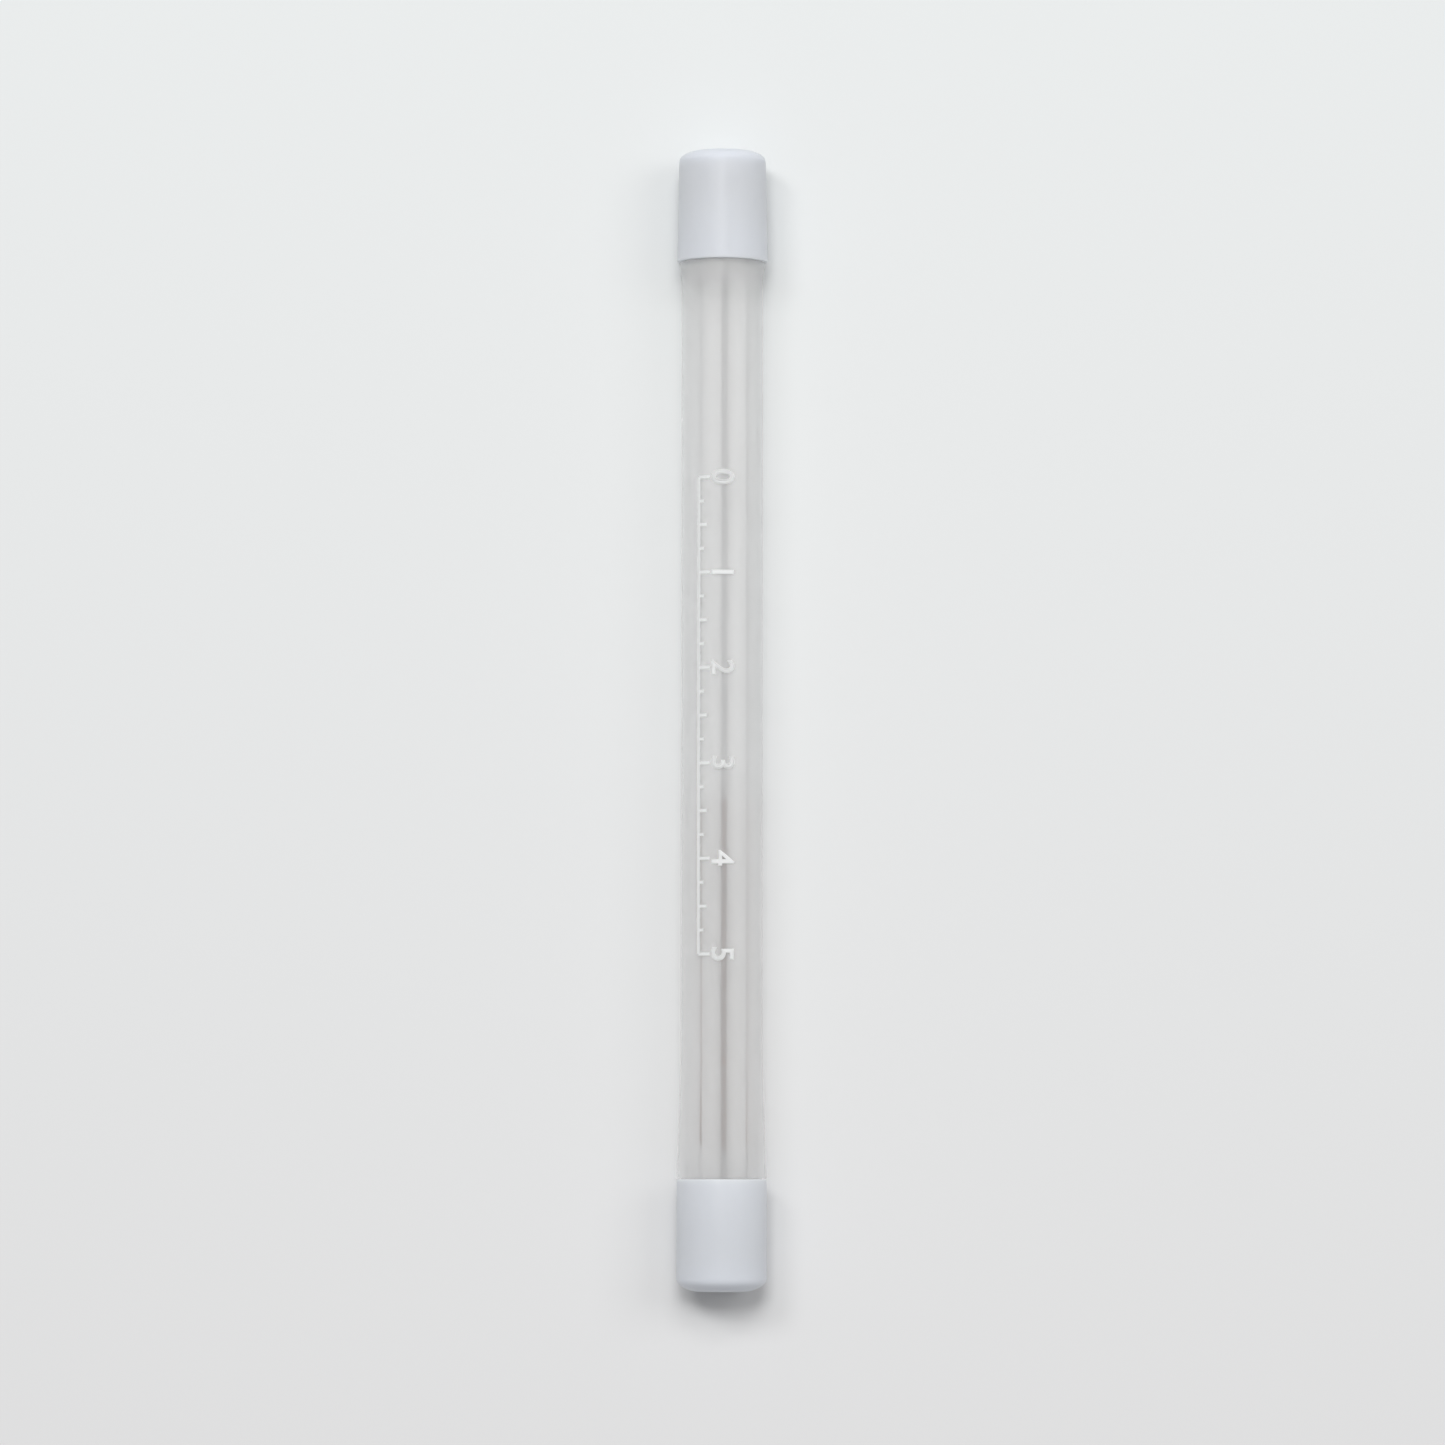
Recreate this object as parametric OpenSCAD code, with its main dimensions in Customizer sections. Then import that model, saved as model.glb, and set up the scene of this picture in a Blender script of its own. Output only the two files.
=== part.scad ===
// Refill case for stick erasers: a waisted translucent tube with a slip-on cap at each end, two round
// eraser refills lying loose in its bore, and a thin plain label under it.
// The case lies on a table along Y, with the top cap at +Y. The origin is on the table under its middle.

/* [Case] */
// Length of the tube that shows between the two caps
body_length = 96.4; // [70:0.1:130]
// Outer diameter of the straight middle of the tube
tube_d = 8.56; // [8.2:0.02:12]
// Wall of the straight middle of the tube
tube_wall = 0.48; // [0.4:0.02:0.6]

/* [Flares] */
// How far the foot of the tube flares out beyond the straight middle, each side
foot_rise = 0.42; // [0.3:0.02:0.6]
// Length of the long flare above the bottom cap
foot_flare = 12.4; // [6:0.1:20]
// How far the neck of the tube flares out beyond the straight middle, each side
neck_rise = 0.26; // [0.15:0.01:0.45]
// Length of the short curved flare below the top cap
neck_flare = 3.2; // [2:0.1:6]

/* [Spigots] */
// Length of the thinner end of the tube that each cap slips over
spigot_length = 8; // [4:0.5:9]
// Wall of the spigots
spigot_wall = 0.42; // [0.3:0.02:0.5]
// Chamfer that leads each spigot into its cap
spigot_chamfer = 0.15; // [0.05:0.05:0.25]

/* [Caps] */
// Length of the top cap
top_cap_length = 11.75; // [11:0.05:16]
// Length of the bottom cap
bottom_cap_length = 11.75; // [11:0.05:16]
// Skirt wall of the top cap at its lip
top_skirt_wall = 0.5; // [0.44:0.02:0.9]
// Skirt wall of the bottom cap at its lip
bottom_skirt_wall = 0.44; // [0.4:0.02:0.9]
// How much the top cap narrows from its lip to its closed end, each side
top_draft = 0.2; // [0:0.01:0.25]
// How much the bottom cap swells from its lip to its closed end, each side
bottom_swell = 0.03; // [0:0.01:0.2]
// Thickness of the closed end of a cap
cap_floor = 1.2; // [0.8:0.1:1.6]
// How far the crowned edge of a closed end reaches in towards the axis
cap_crown = 2.1; // [1.4:0.1:2.4]
// How far the crowned edge reaches along the top cap
top_crown_depth = 1.35; // [0.8:0.05:1.6]
// How far the crowned edge reaches along the bottom cap
bottom_crown_depth = 1; // [0.8:0.05:1.6]
// Radius of the corner between the crowned edge and the side of a cap
cap_corner_round = 0.65; // [0.3:0.05:0.7]
// Radius of the rounded outer edge of the lip
lip_round = 0.14; // [0.05:0.01:0.2]
// Lead-in chamfer inside the lip
mouth_chamfer = 0.15; // [0.05:0.05:0.25]
// How much the hollow of a cap narrows below the end of the spigot, each side
hollow_taper = 0.1; // [0.1:0.05:0.45]
// Diameter of the shallow moulding mark in the middle of each closed end
mark_d = 1.8; // [1:0.1:3]
// Depth of the moulding mark
mark_depth = 0.15; // [0.05:0.05:0.3]

/* [Refills] */
// Diameter of an eraser refill
refill_d = 2.3; // [1.8:0.1:2.8]
// Distance that each end of a refill stops short of the end of the tube
refill_inset = 0.8; // [0.1:0.1:20]
// Chamfer on the cut ends of a refill
refill_chamfer = 0.08; // [0.02:0.02:0.3]
// Angle by which the pair of refills has rolled up the bore towards +X
refill_roll = 7; // [0:1:20]

/* [Label] */
// Length of the label along the tube
label_length = 37; // [10:1:50]
// Distance from the foot of the tube to the label
label_offset = 3; // [1:0.5:15]
// Angle that the label covers round the tube
label_wrap = 70; // [40:1:180]
// Angle from the underside of the tube to the middle of the label, positive towards +X
label_turn = 4; // [-30:1:30]
// Thickness of the label
label_thickness = 0.08; // [0.04:0.02:0.14]

/* [Clearances] */
// Radial running clearance of a cap on its spigot
cap_clearance = 0.05; // [0.02:0.01:0.1]
// Gap between the lip of a cap and the shoulder that stops it
seat_gap = 0.05; // [0.02:0.01:0.2]
// Gap between a refill and the bore
refill_clearance = 0.06; // [0.03:0.01:0.2]
// Gap between the two refills
refill_gap = 0.3; // [0.04:0.02:0.6]

/* [Hidden] */
$fn = 96;

// Facets of the wide circle that shapes the neck
flare_fn = 720;
// Edge break on the shoulders of the tube
shoulder_edge = 0.1;
// Depth of hollow left beyond the end of the spigot before a cap starts to narrow
spigot_end_gap = 0.3;
// Angle, seen in the plane of revolution, of the underside of the case once it lies down
underside_angle = 90;

tube_r = tube_d / 2;
bore_r = tube_r - tube_wall;
spigot_r = bore_r + spigot_wall;
foot_r = tube_r + foot_rise;
neck_r = tube_r + neck_rise;
hollow_r = spigot_r + cap_clearance;
top_lip_r = hollow_r + top_skirt_wall;
bottom_lip_r = hollow_r + bottom_skirt_wall;
bottom_end_r = bottom_lip_r + bottom_swell;
// Widest radius, on which the case lies
rest_r = max(top_lip_r, bottom_end_r, foot_r, neck_r);

// Stations along the case, from the closed end of the bottom cap
foot_z = bottom_cap_length + seat_gap;
neck_z = foot_z + body_length;
case_length = neck_z + seat_gap + top_cap_length;
tube_start = foot_z - spigot_length;
tube_end = neck_z + spigot_length;
waist_start = foot_z + foot_flare;
waist_end = neck_z - neck_flare;

refill_r = refill_d / 2;
refill_start = tube_start + refill_inset;
refill_length = tube_end - refill_inset - refill_start;
refill_lie_r = bore_r - refill_r - refill_clearance;
refill_half_angle = asin((refill_r + refill_gap / 2) / refill_lie_r);

label_start = foot_z + label_offset;
label_end = label_start + label_length;

// Outer radius of the tube at a station on the foot flare or the straight middle
function foot_radius(z) = tube_r + foot_rise * max(0, waist_start - z) / foot_flare;

// Lays a form that stands on the XY plane along Y, with its axis at the height where the case rests
module lay_down() {
    translate([0, -case_length / 2, rest_r])
        rotate([-90, 0, 0])
            children();
}

// Half section of the flare below the top cap: a circle tangent to the straight middle cuts its outside
module neck_section() {
    flare_radius = (neck_flare * neck_flare + neck_rise * neck_rise) / (2 * neck_rise);
    difference() {
        translate([bore_r, waist_end])
            square([neck_r - bore_r, neck_flare]);
        translate([tube_r + flare_radius, waist_end])
            circle(r = flare_radius, $fn = flare_fn);
    }
}

// Half section of the whole tube without the neck flare: bottom spigot, long flare, straight middle, top spigot
module barrel_section() {
    polygon([
        [bore_r, tube_start],
        [spigot_r - spigot_chamfer, tube_start],
        [spigot_r, tube_start + spigot_chamfer],
        [spigot_r, foot_z],
        [foot_r - shoulder_edge, foot_z],
        [foot_radius(foot_z + shoulder_edge), foot_z + shoulder_edge],
        [tube_r, waist_start],
        [tube_r, neck_z],
        [spigot_r, neck_z],
        [spigot_r, tube_end - spigot_chamfer],
        [spigot_r - spigot_chamfer, tube_end],
        [bore_r, tube_end]
    ]);
}

module tube() {
    color([0.86, 0.87, 0.88, 0.45])
        lay_down()
            rotate_extrude()
                union() {
                    barrel_section();
                    neck_section();
                }
}

// Outer half section of a cap that stands on its closed end. A wide arc leaves the flat end and runs smoothly
// into the small arc of the corner.
module cap_outline(length, lip_r, end_r, crown_depth) {
    flat_r = end_r - cap_crown;
    corner = [end_r - cap_corner_round, crown_depth];
    corner_reach = cap_crown - cap_corner_round;
    arc_sum = corner_reach * corner_reach + crown_depth * crown_depth - cap_corner_round * cap_corner_round;
    crown_r = arc_sum / (2 * (crown_depth - cap_corner_round));
    crown_centre = [flat_r, crown_r];
    meeting = crown_centre + (corner - crown_centre) * crown_r / (crown_r - cap_corner_round);
    polygon([
        [0, mark_depth],
        [mark_d / 2, mark_depth],
        [mark_d / 2, 0],
        [flat_r, 0],
        meeting,
        [end_r, crown_depth],
        [lip_r, length - lip_round],
        [lip_r - lip_round, length],
        [0, length]
    ]);
    intersection() {
        translate(crown_centre)
            circle(r = crown_r);
        polygon([[flat_r, 0], [meeting[0], 0], meeting]);
    }
    translate(corner)
        circle(r = cap_corner_round);
    translate([lip_r - lip_round, length - lip_round])
        circle(r = lip_round);
}

// Half section of the hollow of a cap: a straight seat for the spigot, then a taper down to the floor
module cap_hollow(length) {
    seat_end = length - spigot_length - spigot_end_gap;
    polygon([
        [0, cap_floor],
        [hollow_r - hollow_taper, cap_floor],
        [hollow_r, seat_end],
        [hollow_r, length - mouth_chamfer],
        [hollow_r + mouth_chamfer, length],
        [0, length]
    ]);
}

module cap(length, lip_r, end_r, crown_depth) {
    rotate_extrude()
        difference() {
            cap_outline(length, lip_r, end_r, crown_depth);
            cap_hollow(length);
        }
}

module top_cap() {
    color([0.82, 0.84, 0.87])
        lay_down()
            translate([0, 0, case_length])
                mirror([0, 0, 1])
                    cap(top_cap_length, top_lip_r, top_lip_r - top_draft, top_crown_depth);
}

module bottom_cap() {
    color([0.81, 0.83, 0.86])
        lay_down()
            cap(bottom_cap_length, bottom_lip_r, bottom_end_r, bottom_crown_depth);
}

// One refill at its place in the bore: side is 1 for the one towards +X and -1 for the other
module refill(side) {
    lie_angle = underside_angle - refill_roll - side * refill_half_angle;
    color([0.9, 0.9, 0.89])
        lay_down()
            rotate([0, 0, lie_angle])
                translate([refill_lie_r, 0, refill_start])
                    rotate_extrude()
                        polygon([
                            [0, 0],
                            [refill_r - refill_chamfer, 0],
                            [refill_r, refill_chamfer],
                            [refill_r, refill_length - refill_chamfer],
                            [refill_r - refill_chamfer, refill_length],
                            [0, refill_length]
                        ]);
}

module refill_left() {
    refill(-1);
}

module refill_right() {
    refill(1);
}

// The label follows the outside of the tube, over the end of the long flare and along the straight middle
module label() {
    bend = min(max(waist_start, label_start), label_end);
    color([0.8, 0.78, 0.76])
        lay_down()
            rotate([0, 0, underside_angle - label_turn - label_wrap / 2])
                rotate_extrude(angle = label_wrap)
                    polygon([
                        [foot_radius(label_start), label_start],
                        [foot_radius(label_start) + label_thickness, label_start],
                        [foot_radius(bend) + label_thickness, bend],
                        [foot_radius(label_end) + label_thickness, label_end],
                        [foot_radius(label_end), label_end],
                        [foot_radius(bend), bend]
                    ]);
}

tube();
top_cap();
bottom_cap();
refill_left();
refill_right();
label();
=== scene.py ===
"""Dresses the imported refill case: a frosted tube, two satin caps, two eraser refills, a label and a scale.

Everything is in metres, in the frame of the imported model: the case lies along Y on the table (Z = 0),
with its top cap at +Y. Sizes are written in millimetres and multiplied by MM where they are used.
"""

import logging
import math
from dataclasses import dataclass, field
from enum import Enum

import bmesh
import bpy
from mathutils import Matrix, Vector


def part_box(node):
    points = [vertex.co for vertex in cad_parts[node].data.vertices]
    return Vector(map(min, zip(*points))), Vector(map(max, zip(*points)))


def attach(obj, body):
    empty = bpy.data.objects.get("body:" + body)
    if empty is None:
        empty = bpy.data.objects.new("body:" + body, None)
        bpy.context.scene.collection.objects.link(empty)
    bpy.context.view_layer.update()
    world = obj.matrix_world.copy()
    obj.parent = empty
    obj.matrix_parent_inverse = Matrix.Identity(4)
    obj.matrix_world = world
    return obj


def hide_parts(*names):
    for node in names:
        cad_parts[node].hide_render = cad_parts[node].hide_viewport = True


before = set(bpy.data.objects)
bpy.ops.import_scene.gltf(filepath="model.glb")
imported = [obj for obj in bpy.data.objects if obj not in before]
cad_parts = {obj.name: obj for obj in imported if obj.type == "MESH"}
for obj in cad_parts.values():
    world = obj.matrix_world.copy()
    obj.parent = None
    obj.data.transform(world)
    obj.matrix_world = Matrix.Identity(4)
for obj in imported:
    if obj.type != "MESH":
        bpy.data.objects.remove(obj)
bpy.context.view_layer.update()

MM = 0.001
MERGE_REACH = 0.0005 * MM
FOLD_ANGLE = math.radians(32.0)
LOG = logging.getLogger("refill_case")

Point2 = tuple[float, float]
Tone = tuple[float, float, float]
Linear = tuple[float, float, float, float]
Feeds = dict[str | int, object]
Tree = bpy.types.NodeTree
Socket = bpy.types.NodeSocket
Material = bpy.types.Material
Piece = bpy.types.Object


def linear(tone: Tone) -> Linear:
    """Turns a screen colour into the linear colour that a shader socket takes.

    Args:
        tone: Red, green and blue from 0 to 255, as a screen shows them.

    Returns:
        The linear colour with an alpha of 1.
    """
    shown = [channel / 255.0 for channel in tone]
    values = [c / 12.92 if c <= 0.04045 else ((c + 0.055) / 1.055) ** 2.4 for c in shown]
    return (values[0], values[1], values[2], 1.0)


def feed(tree: Tree, node: bpy.types.Node, feeds: Feeds) -> None:
    """Feeds inputs of a node.

    Args:
        tree: The tree that holds the node.
        node: The node.
        feeds: A socket or a plain value for each input, by the input's name or place.
    """
    for key, term in feeds.items():
        if isinstance(term, Socket):
            tree.links.new(term, node.inputs[key])
        else:
            node.inputs[key].default_value = term


def add_node(tree: Tree, kind: str, feeds: Feeds | None = None, **settings: object) -> bpy.types.Node:
    """Adds a node to a shader tree or a geometry tree.

    Args:
        tree: The tree.
        kind: Type of the node, as Blender names it.
        feeds: What goes into its inputs, as feed takes it.
        settings: Its properties by name, set before the inputs.

    Returns:
        The node.
    """
    node = tree.nodes.new(kind)
    for label, value in settings.items():
        setattr(node, label, value)
    feed(tree, node, feeds or {})
    return node


def sum_of(tree: Tree, operation: str, *terms: object) -> Socket:
    """Adds a math node to a shader tree or a geometry tree.

    Args:
        tree: The tree.
        operation: The operation, as Blender names it.
        terms: One to three terms, each a socket or a number.

    Returns:
        The socket that holds the result.
    """
    return add_node(tree, "ShaderNodeMath", dict(enumerate(terms)), operation=operation).outputs[0]


class Role(Enum):
    """Which end of the case a cap closes. The value is the direction of its closed end along Y."""

    TOP = 1
    BOTTOM = -1


class Side(Enum):
    """Which of the two refills is meant. The value is its direction along X."""

    LEFT = -1
    RIGHT = 1


class GroupMaker:
    """Builds the shader node groups that several finishes share."""

    wander_scale: float = 160.0
    mottle_detail: float = 2.0
    middle: float = 0.5

    def __init__(self) -> None:
        """Starts with no group built."""
        self.built: dict[str, Tree] = {}

    @staticmethod
    def _start(name: str, inputs: dict[str, float], outputs: dict[str, str]) -> Tree:
        """Makes an empty group with its sockets.

        Args:
            name: Name of the group.
            inputs: Name and default of each number that goes in.
            outputs: Name and socket type of each output.

        Returns:
            The group, with one input node and one output node.
        """
        tree = bpy.data.node_groups.new(name, "ShaderNodeTree")
        for label, value in inputs.items():
            socket = tree.interface.new_socket(name=label, in_out="INPUT", socket_type="NodeSocketFloat")
            socket.default_value = value
        for label, kind in outputs.items():
            tree.interface.new_socket(name=label, in_out="OUTPUT", socket_type=kind)
        tree.nodes.new("NodeGroupInput").name = "in"
        tree.nodes.new("NodeGroupOutput").name = "out"
        return tree

    def moulded_grain(self) -> Tree:
        """Gives the fine grain of a moulded or cast surface, as a height and as a roughness.

        Returns:
            The group, with Height and Roughness outputs.
        """
        if "moulded_grain" in self.built:
            return self.built["moulded_grain"]
        tree = self._start(
            "moulded_grain",
            {"Scale": 3000.0, "Base Roughness": 0.4, "Roughness Spread": 0.1, "Detail": 3.0},
            {"Height": "NodeSocketFloat", "Roughness": "NodeSocketFloat"},
        )
        given = tree.nodes["in"].outputs
        place = add_node(tree, "ShaderNodeTexCoord").outputs["Object"]
        fine_feeds = {"Vector": place, "Scale": given["Scale"], "Detail": given["Detail"]}
        fine = add_node(tree, "ShaderNodeTexNoise", fine_feeds)
        broad = add_node(tree, "ShaderNodeTexNoise", {"Vector": place, "Scale": self.wander_scale})
        centred = sum_of(tree, "SUBTRACT", broad.outputs["Fac"], self.middle)
        spread = sum_of(tree, "MULTIPLY_ADD", centred, given["Roughness Spread"], given["Base Roughness"])
        feed(tree, tree.nodes["out"], {"Height": fine.outputs["Fac"], "Roughness": spread})
        self.built["moulded_grain"] = tree
        return tree

    def mottle(self) -> Tree:
        """Gives a slow wander between 0 and 1, stretched along the case, for uneven colour.

        Returns:
            The group, with a Mask output.
        """
        if "mottle" in self.built:
            return self.built["mottle"]
        tree = self._start(
            "mottle",
            {"Scale": 120.0, "Stretch": 0.3, "Contrast": 1.0},
            {"Mask": "NodeSocketFloat"},
        )
        given = tree.nodes["in"].outputs
        place = add_node(tree, "ShaderNodeTexCoord").outputs["Object"]
        apart = add_node(tree, "ShaderNodeSeparateXYZ", {"Vector": place}).outputs
        along = sum_of(tree, "MULTIPLY", apart["Y"], given["Stretch"])
        again = add_node(tree, "ShaderNodeCombineXYZ", {"X": apart["X"], "Y": along, "Z": apart["Z"]})
        cloud_feeds = {"Vector": again.outputs[0], "Scale": given["Scale"], "Detail": self.mottle_detail}
        cloud = add_node(tree, "ShaderNodeTexNoise", cloud_feeds)
        centred = sum_of(tree, "SUBTRACT", cloud.outputs["Fac"], self.middle)
        mask = sum_of(tree, "MULTIPLY_ADD", centred, given["Contrast"], self.middle)
        mask.node.use_clamp = True
        feed(tree, tree.nodes["out"], {"Mask": mask})
        self.built["mottle"] = tree
        return tree


GROUPS = GroupMaker()


@dataclass(frozen=True)
class Finish:
    """A finish of the case: a principled shader with an uneven colour and a fine grain.

    Args:
        name: Name of the material.
        tone: Screen colour of the surface.
        tone_low: Screen colour where the mottle is low.
        roughness: Middle roughness.
        spread: How far the roughness wanders.
        grain_scale: Scale of the fine grain, per metre.
        grain_depth: Height of the fine grain, in millimetres.
        mottle_scale: Scale of the uneven colour, per metre.
        mottle_contrast: Contrast of the uneven colour.
    """

    name: str
    tone: Tone
    tone_low: Tone
    roughness: float
    spread: float = 0.06
    grain_scale: float = 6000.0
    grain_depth: float = 0.004
    mottle_scale: float = 140.0
    mottle_contrast: float = 1.4

    def build(self) -> Material:
        """Builds the material.

        Returns:
            The material, with its shader ready for the subclass to finish.
        """
        material = bpy.data.materials.new(self.name)
        material.use_nodes = True
        tree = material.node_tree
        shader = tree.nodes["Principled BSDF"]
        cloud_feeds = {"Scale": self.mottle_scale, "Contrast": self.mottle_contrast}
        cloud = add_node(tree, "ShaderNodeGroup", cloud_feeds, node_tree=GROUPS.mottle())
        tones = {"Factor": cloud.outputs["Mask"], "A": linear(self.tone_low), "B": linear(self.tone)}
        colour = add_node(tree, "ShaderNodeMix", tones, data_type="RGBA")
        grain_feeds = {
            "Scale": self.grain_scale,
            "Base Roughness": self.roughness,
            "Roughness Spread": self.spread,
        }
        grain = add_node(tree, "ShaderNodeGroup", grain_feeds, node_tree=GROUPS.moulded_grain())
        bump_feeds = {
            "Strength": 1.0,
            "Distance": self.grain_depth * MM,
            "Height": grain.outputs["Height"],
        }
        bump = add_node(tree, "ShaderNodeBump", bump_feeds)
        surface = {
            "Base Color": colour.outputs["Result"],
            "Roughness": grain.outputs["Roughness"],
            "Normal": bump.outputs["Normal"],
        }
        feed(tree, shader, surface)
        self.dress(shader)
        return material

    def dress(self, shader: bpy.types.Node) -> None:
        """Adds what only one finish has. The plain finish adds nothing."""


def scatter_light(shader: bpy.types.Node, reach: float) -> None:
    """Lets a material pass light on inside itself, as milky plastic and eraser compound do.

    Args:
        shader: The principled shader.
        reach: How far the light spreads, in millimetres.
    """
    inside = {
        "Subsurface Weight": 1.0,
        "Subsurface Scale": MM,
        "Subsurface Radius": (reach, reach, reach),
    }
    feed(shader.id_data, shader, inside)


@dataclass(frozen=True)
class FrostedPlastic(Finish):
    """The milky, see-through plastic of the tube: each wall face scatters a share of the light.

    Args:
        cloud_share: Share of the light that a wall face scatters.
        neck_cloud: That share at the thicker neck.
        neck_station: Station of the neck, in millimetres.
        neck_fade: Distance over which the share falls back on both sides of the neck, in millimetres.
        scatter_reach: How far the scattered light spreads, in millimetres.
    """

    cloud_share: float = 0.2
    neck_cloud: float = 0.33
    neck_station: float = 48.25
    neck_fade: float = 4.0
    scatter_reach: float = 0.5

    def dress(self, shader: bpy.types.Node) -> None:
        """Lets most of the light straight through, less of it at the thicker neck, and spreads the rest."""
        tree = shader.id_data
        place = add_node(tree, "ShaderNodeTexCoord").outputs["Object"]
        apart = add_node(tree, "ShaderNodeSeparateXYZ", {"Vector": place})
        past = sum_of(tree, "SUBTRACT", apart.outputs["Y"], self.neck_station * MM)
        fade = {
            "Value": sum_of(tree, "ABSOLUTE", past),
            "From Min": 0.0,
            "From Max": self.neck_fade * MM,
            "To Min": self.neck_cloud,
            "To Max": self.cloud_share,
        }
        cloud = add_node(tree, "ShaderNodeMapRange", fade, interpolation_type="SMOOTHSTEP")
        feed(tree, shader, {"Alpha": cloud.outputs["Result"]})
        scatter_light(shader, self.scatter_reach)


@dataclass(frozen=True)
class SatinPlastic(Finish):
    """The pale satin plastic of the caps, which glows a little from inside.

    Args:
        reflection: Level of the surface reflection, where 0.5 is plain plastic.
        scatter_reach: How far light spreads inside, in millimetres.
    """

    reflection: float = 0.2
    scatter_reach: float = 1.4

    def dress(self, shader: bpy.types.Node) -> None:
        """Keeps the reflection satin and spreads light in the wall of the cap."""
        shader.inputs["Specular IOR Level"].default_value = self.reflection
        scatter_light(shader, self.scatter_reach)


@dataclass(frozen=True)
class EraserRubber(Finish):
    """The soft matt compound of the refills, which passes light on along the stick.

    Args:
        reflection: Level of the surface reflection, where 0.5 is plain plastic.
        scatter_reach: How far light spreads inside, in millimetres.
    """

    reflection: float = 0.25
    scatter_reach: float = 15.0

    def dress(self, shader: bpy.types.Node) -> None:
        """Keeps the reflection low and spreads light through the stick."""
        shader.inputs["Specular IOR Level"].default_value = self.reflection
        scatter_light(shader, self.scatter_reach)


FROSTED = FrostedPlastic(
    name="frosted_tube_plastic",
    tone=(252.0, 252.0, 252.0),
    tone_low=(249.0, 250.0, 250.0),
    roughness=0.34,
    spread=0.05,
    grain_scale=5000.0,
    grain_depth=0.002,
    mottle_scale=200.0,
)
CAP_SATIN = SatinPlastic(
    name="cap_satin_plastic",
    tone=(217.0, 221.0, 229.0),
    tone_low=(215.0, 219.0, 227.0),
    roughness=0.36,
    spread=0.06,
    grain_scale=7000.0,
    grain_depth=0.003,
)
ERASER = EraserRubber(
    name="refill_eraser",
    tone=(240.0, 240.0, 238.0),
    tone_low=(236.0, 236.0, 234.0),
    roughness=0.7,
    grain_scale=4000.0,
    grain_depth=0.01,
    mottle_scale=300.0,
)
# The label's brown is partly its own warm tint and partly painted shade: it is darker than the paper so that
# the slit between the refills and the tube's floor read dark.
LABEL_TINT_AND_PAINTED_SHADE = Finish(
    name="label_paper",
    tone=(136.0, 77.0, 28.0),
    tone_low=(128.0, 72.0, 26.0),
    roughness=0.8,
    grain_scale=2600.0,
    grain_depth=0.006,
    mottle_scale=260.0,
)
WHITE_INK = Finish(
    name="scale_ink",
    tone=(232.0, 233.0, 233.0),
    tone_low=(228.0, 229.0, 229.0),
    roughness=0.5,
    grain_scale=9000.0,
    grain_depth=0.002,
    mottle_scale=900.0,
)


class NodeTree:
    """A geometry node tree under construction, with short names for what each step adds."""

    def __init__(self, name: str) -> None:
        """Makes an empty tree with a geometry input and output.

        Args:
            name: Name of the tree.
        """
        self.tree = bpy.data.node_groups.new(name, "GeometryNodeTree")
        self.tree.interface.new_socket(name="Geometry", in_out="INPUT", socket_type="NodeSocketGeometry")
        self.tree.interface.new_socket(name="Geometry", in_out="OUTPUT", socket_type="NodeSocketGeometry")
        self.source = self.tree.nodes.new("NodeGroupInput")
        self.sink = self.tree.nodes.new("NodeGroupOutput")
        self.identifiers: dict[str, str] = {}

    def _input(self, label: str, kind: str) -> bpy.types.NodeTreeInterfaceSocket:
        """Adds an input to the tree's interface and keeps its identifier.

        Args:
            label: Name of the input.
            kind: Type of its socket, as Blender names it.

        Returns:
            The interface socket.
        """
        item = self.tree.interface.new_socket(name=label, in_out="INPUT", socket_type=kind)
        self.identifiers[label] = item.identifier
        return item

    def number(self, label: str, value: float) -> Socket:
        """Adds a named number, with its default, to the inputs and returns its socket inside the tree."""
        self._input(label, "NodeSocketFloat").default_value = value
        return self.source.outputs[label]

    def count(self, label: str, value: int) -> Socket:
        """Adds a named whole number, as number does, and returns its socket inside the tree."""
        self._input(label, "NodeSocketInt").default_value = value
        return self.source.outputs[label]

    def material(self, label: str) -> Socket:
        """Adds a named material to the tree's inputs and returns its socket inside the tree."""
        self._input(label, "NodeSocketMaterial")
        return self.source.outputs[label]

    def add(self, kind: str, feeds: Feeds | None = None, **settings: object) -> Socket:
        """Adds a node, as add_node does.

        Args:
            kind: Type of the node, as Blender names it.
            feeds: What goes into its inputs.
            settings: Its properties by name.

        Returns:
            The node's first output.
        """
        return add_node(self.tree, kind, feeds, **settings).outputs[0]

    def math(self, operation: str, *terms: object) -> Socket:
        """Adds a sum of one to three terms, each a socket or a number, and returns its result."""
        return sum_of(self.tree, operation, *terms)

    def vector(self, x: object, y: object, z: object) -> Socket:
        """Joins three terms, each a socket or a number, into a vector socket."""
        return self.add("ShaderNodeCombineXYZ", {"X": x, "Y": y, "Z": z})

    def grid(self, columns: object, rows: object) -> Socket:
        """Adds a flat grid, 1 by 1, of the given numbers of points along X and Y."""
        feeds = {"Size X": 1.0, "Size Y": 1.0, "Vertices X": columns, "Vertices Y": rows}
        return self.add("GeometryNodeMeshGrid", feeds)

    def apart(self, vector: Socket) -> bpy.types.NodeOutputs:
        """Splits a vector socket into its three parts."""
        return add_node(self.tree, "ShaderNodeSeparateXYZ", {"Vector": vector}).outputs

    def position(self) -> bpy.types.NodeOutputs:
        """Gives the three parts of each point's position."""
        return self.apart(self.add("GeometryNodeInputPosition"))

    def end(self, geometry: Socket, material: Socket) -> None:
        """Ends the tree in Realize Instances and Set Material.

        Args:
            geometry: What the tree has made.
            material: The material input.
        """
        real = self.add("GeometryNodeRealizeInstances", {"Geometry": geometry})
        painted = self.add("GeometryNodeSetMaterial", {"Geometry": real, "Material": material})
        feed(self.tree, self.sink, {"Geometry": painted})


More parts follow.
